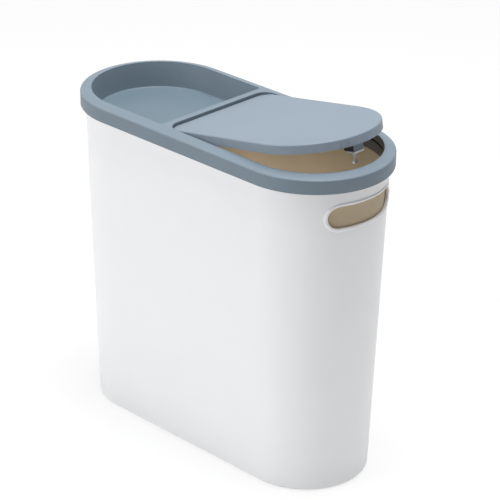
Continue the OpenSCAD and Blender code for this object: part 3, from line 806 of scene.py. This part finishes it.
    def shade_sheet(self, m):
        """Thin dark sheet on the well's wall that paints the shade deep in the gap round the lid; it starts
        lower at the back, where the opening lid passes.
        """
        low, thick, back_high = m.height - 6.6, 0.35, m.height - 2.9
        # Painted shade: a thin black sheet on the well's wall, where the gap round the lid lies in shade
        shade_sheet = tongue("well_lining", m.well_x, m.end_x + m.open_r, m.open_r, WELL_CORNER, low)
        bpy.ops.mesh.delete(type="ONLY_FACE")
        bpy.ops.mesh.select_mode(type="EDGE")
        bpy.ops.mesh.select_all(action="SELECT")
        rise(m.edge_low - low)
        close_up(shade_sheet, holes=False)
        modify(shade_sheet, "SOLIDIFY", thickness=thick * MM, offset=-1, use_even_offset=True)
        clear = brick("clear", (m.well_x - 5, -PAST_SIDE, back_high), (m.well_x + 50, PAST_SIDE, m.height))
        combine(shade_sheet, clear, "DIFFERENCE")
        tidy_edges(shade_sheet, 0.1)
        show(shade_sheet, "top", finish("black ring moulding"), "dark_ring")


class BIN_OT_lid(bpy.types.Operator):
    """Model the lid's cover with its skirt and hinge knuckles, and a black block that paints the shade in
    the open side of the striker's boss
    """

    bl_idname = "bin.lid"
    bl_label = "Lid"

    # Where the knuckles of one side begin and end along the hinge, in mm
    KNUCKLES = ((42.8, 46.8), (53.5, 55.5))

    def execute(self, context):
        m = measure(context)
        self.cover(m)
        self.core(m)
        return {"FINISHED"}

    def cover(self, m):
        """Lid's shell with a round edge, hollow below, with no skirt at the back and four knuckles."""
        skin, first_loop, side, edge = 1.6, 0.15, 2.0, m.lid_edge
        under_skin = m.lid_top - skin
        lid = tongue("lid_shell", m.lid_back, m.lid_tip, m.lid_r, m.lid_corner, m.lid_low)
        rise(m.lid_height - edge)
        draw_in_along([(edge * (1 - math.cos(t)), edge * math.sin(t)) for t in QUARTER])
        pick_underside(lid)
        draw_in_along([(0, 0), (first_loop, 0), (side, 0)])
        rise(m.lid_height - skin)
        close_up(lid)
        skirt_start = m.lid_back + m.lid_corner
        clear = brick("clear", (m.lid_back - 5, -PAST_SIDE, m.lid_low - 5),
                      (skirt_start, PAST_SIDE, under_skin))
        combine(lid, clear, "DIFFERENCE")
        for near, far in self.KNUCKLES:
            for way in (1, -1):
                start, end = sorted((way * near, way * far))
                combine(lid, self.knuckle(m, start, end, under_skin + 0.3), "UNION")
        tidy_edges(lid, 0.35, angle=50)
        swing(lid, m)
        show(lid, "lid", finish("slate lid moulding"), "grey_lid", "lid_cover")

    def knuckle(self, m, start, end, top):
        """Hinge knuckle: a barrel drawn up to the lid's skin."""
        radius, half_web = 3.0, 2.4
        barrel = rod("knuckle", (m.axis_x, start, m.axis_z), end - start, radius, "Y", sides=32)
        web = brick("web", (m.axis_x - half_web, start, m.axis_z), (m.axis_x + half_web, end, top))
        combine(barrel, web, "UNION")
        return barrel

    def core(self, m):
        """Black block in the open side of the striker's boss, painted shade for its dark hollow."""
        boss_x = m.lid_tip - 13
        back, front, left, right = boss_x - 5.45, boss_x + 4.9, -5.95, 0.2
        low, high = m.lid_top - 15.9, m.lid_low + 0.5
        # Painted shade: a black block that darkens the boss's shaded open side
        core = brick("boss_core", (back, left, low), (front, right, high), 0.1)
        swing(core, m)
        tidy_edges(core, 0)
        show(core, "lid", finish("black latch moulding"), "dark_latch")


class BIN_OT_small_parts(bpy.types.Operator):
    """Round the edges of the latch's and the lid's small mouldings, on copies of their CAD shapes"""

    bl_idname = "bin.small_parts"
    bl_label = "Small parts"

    # Each CAD node with its body, its finish, its slot and the rounding of its edges in mm
    PARTS = (
        ("lid_panel", "lid", "slate moulding", "slate_frame", 0.4),
        ("latch_striker", "lid", "off-white latch moulding", "white_latch", 0.25),
        ("latch_housing", "top", "black latch moulding", "dark_latch", 0.3),
        ("latch_cover", "top", "black latch moulding", "dark_latch", 0.3),
        ("latch_slide", "latch", "off-white latch moulding", "white_latch", 0.2),
        ("latch_jaw_left", "jaw_left", "off-white latch moulding", "white_latch", 0.2),
        ("latch_jaw_right", "jaw_right", "off-white latch moulding", "white_latch", 0.2),
    )

    def execute(self, context):
        for node, body, material, slot, width in self.PARTS:
            copy = frame["nodes"][node].copy()
            copy.data = copy.data.copy()
            copy.name = copy.data.name = node + "_soft"
            context.collection.objects.link(copy)
            take(copy)
            open_all(copy)
            bpy.ops.mesh.remove_doubles(threshold=DOUBLES * MM)
            bpy.ops.mesh.dissolve_limited(angle_limit=math.radians(0.5))
            leave(copy)
            tidy_edges(copy, width, angle=40, segments=2)
            show(copy, body, finish(material), slot, node)
        return {"FINISHED"}


class BIN_OT_stage(bpy.types.Operator):
    """Lay the floor, light the scene and set up the camera"""

    bl_idname = "bin.stage"
    bl_label = "Stage"

    def execute(self, context):
        look = context.scene.bin_stage
        scene = context.scene
        scene.view_settings.view_transform = "Standard"
        self.camera(scene, look)
        self.sky(scene, look)
        self.floor()
        self.lamps(look)
        return {"FINISHED"}

    def camera(self, scene, look):
        """Camera at the photograph's angle."""
        turn = (Matrix.Rotation(look.azimuth, 4, "Z")
                @ Matrix.Rotation(math.pi / 2 - look.elevation, 4, "X")
                @ Matrix.Rotation(look.roll, 4, "Z"))
        back = Vector((math.sin(look.azimuth) * math.cos(look.elevation),
                       -math.cos(look.azimuth) * math.cos(look.elevation), math.sin(look.elevation)))
        spot = Vector(look.target) + back * look.distance
        bpy.ops.object.camera_add(location=spot, rotation=turn.to_euler())
        camera = bpy.context.object
        camera.name = "camera"
        camera.data.sensor_width = 36
        camera.data.lens = look.lens
        camera.data.shift_x = SHIFT_X / PICTURE
        camera.data.shift_y = SHIFT_Y / PICTURE
        camera.data.clip_end = 20
        scene.camera = camera

    def sky(self, scene, look):
        """Even light from all round that the camera, gloss and glass see as white."""
        world = bpy.data.worlds.new("sky")
        world.use_nodes = True
        tree = world.node_tree
        tree.nodes.clear()
        out = add_node(tree, "ShaderNodeOutputWorld", (600, 0))
        white = add_node(tree, "ShaderNodeBackground", (100, 100), Strength=1.0, Color=(1, 1, 1, 1))
        light = add_node(tree, "ShaderNodeBackground", (100, -100), Strength=look.sky, Color=(1, 1, 1, 1))
        path = add_node(tree, "ShaderNodeLightPath", (-400, 0))
        mix = add_node(tree, "ShaderNodeMixShader", (350, 0))
        seen = self.seen(tree, path)
        tree.links.new(seen, mix.inputs["Fac"])
        tree.links.new(light.outputs[0], mix.inputs[1])
        tree.links.new(white.outputs[0], mix.inputs[2])
        tree.links.new(mix.outputs[0], out.inputs["Surface"])
        scene.world = world

    def seen(self, tree, path):
        """Socket that is 1 for the rays that see the surroundings as white."""
        socket = path.outputs[WHITE_FOR[0]]
        for i, ray in enumerate(WHITE_FOR[1:]):
            either = add_node(tree, "ShaderNodeMath", (-450 + 200 * i, 150))
            either.operation = "MAXIMUM"
            tree.links.new(socket, either.inputs[0])
            tree.links.new(path.outputs[ray], either.inputs[1])
            socket = either.outputs[0]
        return socket

    def floor(self):
        """Wide pale floor: near white to the camera, with the bin's soft shadow."""
        radius, sunk, grey = 6, 0.0005, 0.9
        bpy.ops.object.select_all(action="DESELECT")
        bpy.ops.mesh.primitive_circle_add(vertices=96, radius=radius, fill_type="NGON",
                                          location=(0, 0, -sunk))
        floor = bpy.context.object
        floor.name = "floor"
        bpy.ops.object.transform_apply(location=True, rotation=True, scale=True)
        material = bpy.data.materials.new("pale floor")
        material.use_nodes = True
        tree = material.node_tree
        tree.nodes.clear()
        out = add_node(tree, "ShaderNodeOutputMaterial", (600, 0))
        matt = add_node(tree, "ShaderNodeBsdfDiffuse", (0, -100), Color=(grey, grey, grey, 1))
        white = add_node(tree, "ShaderNodeEmission", (0, 100), Color=(1, 1, 1, 1), Strength=1.0)
        path = add_node(tree, "ShaderNodeLightPath", (-700, 0))
        seen = self.seen(tree, path)
        share = add_node(tree, "ShaderNodeMath", (50, 250))
        share.operation = "MULTIPLY"
        share.inputs[1].default_value = FLOOR_WHITE
        mix = add_node(tree, "ShaderNodeMixShader", (350, 0))
        tree.links.new(seen, share.inputs[0])
        tree.links.new(share.outputs[0], mix.inputs["Fac"])
        tree.links.new(matt.outputs[0], mix.inputs[1])
        tree.links.new(white.outputs[0], mix.inputs[2])
        tree.links.new(mix.outputs[0], out.inputs["Surface"])
        put_material(floor, material)

    def lamps(self, look):
        """Two large soft lamps that face the bin's middle, and two small ones in the liner's mouth."""
        middle = Vector((0, 0, 0.15))
        for name, power, size, spot in (
                ("above", look.above, 1.8, (0.2, 0.1, 2.7)),
                ("left", look.left, 1.5, (-1.1, -2.2, 1.2))):
            turn = (middle - Vector(spot)).to_track_quat("-Z", "Y")
            bpy.ops.object.light_add(type="AREA", location=spot, rotation=turn.to_euler())
            lamp = bpy.context.object
            lamp.name = name
            lamp.data.shape = "DISK"
            lamp.data.size = size
            lamp.data.energy = power
        small_x, small_z = (-0.035, 0.075), 0.19
        for i, x in enumerate(small_x):
            bpy.ops.object.light_add(type="POINT", location=(x, 0, small_z))
            lamp = bpy.context.object
            lamp.name = "inside_%d" % i
            lamp.data.shadow_soft_size = 0.02
            lamp.data.energy = look.inside / len(small_x)
            lamp.visible_camera = False


class BIN_OT_finishes(bpy.types.Operator):
    """Give every CAD piece its moulded or metal finish"""

    bl_idname = "bin.finishes"
    bl_label = "Finishes"

    def execute(self, context):
        tone = context.scene.bin_colours
        sizes = context.scene.bin_sizes
        # The slate is darkened below the tray floor's height: painted shade for the sunken tray
        tray_floor, fade, tray_painted_shade = sizes.height - sizes.tray_depth, 0.0018, (0.80, 0.86, 0.87)
        shell = finish_material("glossy white moulding", tone.shell, 0.36, 900, 0.00002, tint=0.006,
                                coat=0.15)
        slate = finish_material("slate moulding", tone.frame, 0.52, 1500, 0.00005, tint=0.035,
                                low=(tray_floor, fade, tray_painted_shade))
        # The lid's colour is the frame's slate made lighter: painted sheen
        lid = finish_material("slate lid moulding", tone.lid, 0.50, 1700, 0.00006, tint=0.03)
        liner = finish_material("tan liner moulding", tone.liner, 0.6, 1200, 0.00004, tint=0.04)
        ring = finish_material("black ring moulding", tone.ring, 0.5, 1300, 0.00004, tint=0.1)
        case = finish_material("black latch moulding", tone.latch, 0.45, 1600, 0.00003, tint=0.1)
        white = finish_material("off-white latch moulding", tone.striker, 0.42, 1600, 0.00003, tint=0.02)
        steel = finish_material("drawn steel", tone.steel, 0.3, 2600, 0.00001, tint=0.06, metallic=1.0,
                                stretch=(1, 0.08, 1))
        finish_of = {
            "outer_bin": shell, "inner_liner": liner, "bag_ring": ring, "top_frame": slate,
            "lid_cover": lid, "lid_panel": slate, "latch_striker": white, "latch_slide": white,
            "latch_jaw_left": white, "latch_jaw_right": white, "latch_housing": case, "latch_cover": case,
        }
        for name, node in frame["nodes"].items():
            put_material(node, finish_of.get(name, steel))
        return {"FINISHED"}


class BIN_PT_panel(bpy.types.Panel):
    """Lists the bin's pieces and settings"""

    bl_idname = "BIN_PT_panel"
    bl_label = "Slim push-top bin"
    bl_space_type = "VIEW_3D"
    bl_region_type = "UI"
    bl_category = "Bin"

    def draw(self, context):
        for group in (context.scene.bin_sizes, context.scene.bin_colours, context.scene.bin_stage):
            for name in group.__annotations__:
                self.layout.prop(group, name)
        for step in STEPS:
            self.layout.operator(step.bl_idname)


STEPS = (BIN_OT_stage, BIN_OT_finishes, BIN_OT_shell, BIN_OT_liner, BIN_OT_frame, BIN_OT_lid,
         BIN_OT_small_parts)
CLASSES = (BinColours, BinSizes, BinStage, *STEPS, BIN_PT_panel)


def register():
    for item in CLASSES:
        bpy.utils.register_class(item)
    bpy.types.Scene.bin_colours = bpy.props.PointerProperty(type=BinColours)
    bpy.types.Scene.bin_sizes = bpy.props.PointerProperty(type=BinSizes)
    bpy.types.Scene.bin_stage = bpy.props.PointerProperty(type=BinStage)


def unregister():
    del bpy.types.Scene.bin_stage
    del bpy.types.Scene.bin_sizes
    del bpy.types.Scene.bin_colours
    for item in reversed(CLASSES):
        bpy.utils.unregister_class(item)


def main():
    register()
    bpy.ops.bin.stage()
    bpy.ops.bin.finishes()
    bpy.ops.bin.shell()
    bpy.ops.bin.liner()
    bpy.ops.bin.frame()
    bpy.ops.bin.lid()
    bpy.ops.bin.small_parts()


if __name__ == "__main__":
    main()
